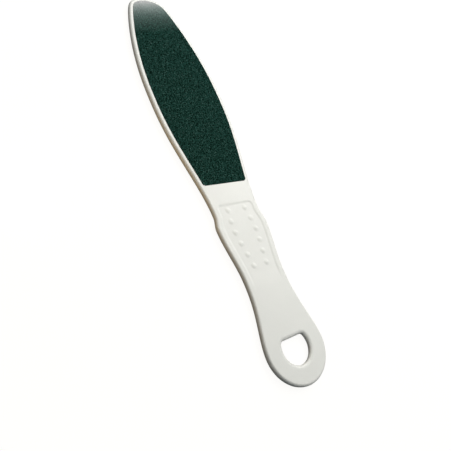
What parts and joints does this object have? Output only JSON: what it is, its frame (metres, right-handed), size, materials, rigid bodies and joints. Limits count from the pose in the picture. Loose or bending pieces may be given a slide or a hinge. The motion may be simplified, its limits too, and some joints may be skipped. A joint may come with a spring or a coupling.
{
  "type": "foot file",
  "caption": "Two-sided foot file: flat moulded handle with a leaf-shaped head, a grip panel and a hang hole, and an abrasive sheet glued into each face.",
  "frame": {"origin": "under the middle of the file's length and width, on the surface that the rear sheet lies on", "axes": "+X along the file from the tip to the round end with the hang hole, +Y across it, +Z out of the front face"},
  "size_m": [0.265, 0.0532, 0.0043],
  "materials": {
    "white_plastic": "moulded white plastic with a soft satin gloss",
    "adhesive_film": "amber pressure-sensitive film",
    "backing_cloth": "resin-filled cotton cloth",
    "coarse_grit": "coarse dark green mineral grit in resin",
    "fine_grit": "fine dark green mineral grit in resin"
  },
  "bodies": {
    "root": {"handle": "white_plastic", "front_adhesive": "adhesive_film", "front_backing": "backing_cloth", "front_grit": "coarse_grit", "rear_adhesive": "adhesive_film", "rear_backing": "backing_cloth", "rear_grit": "fine_grit"}
  },
  "joints": []
}
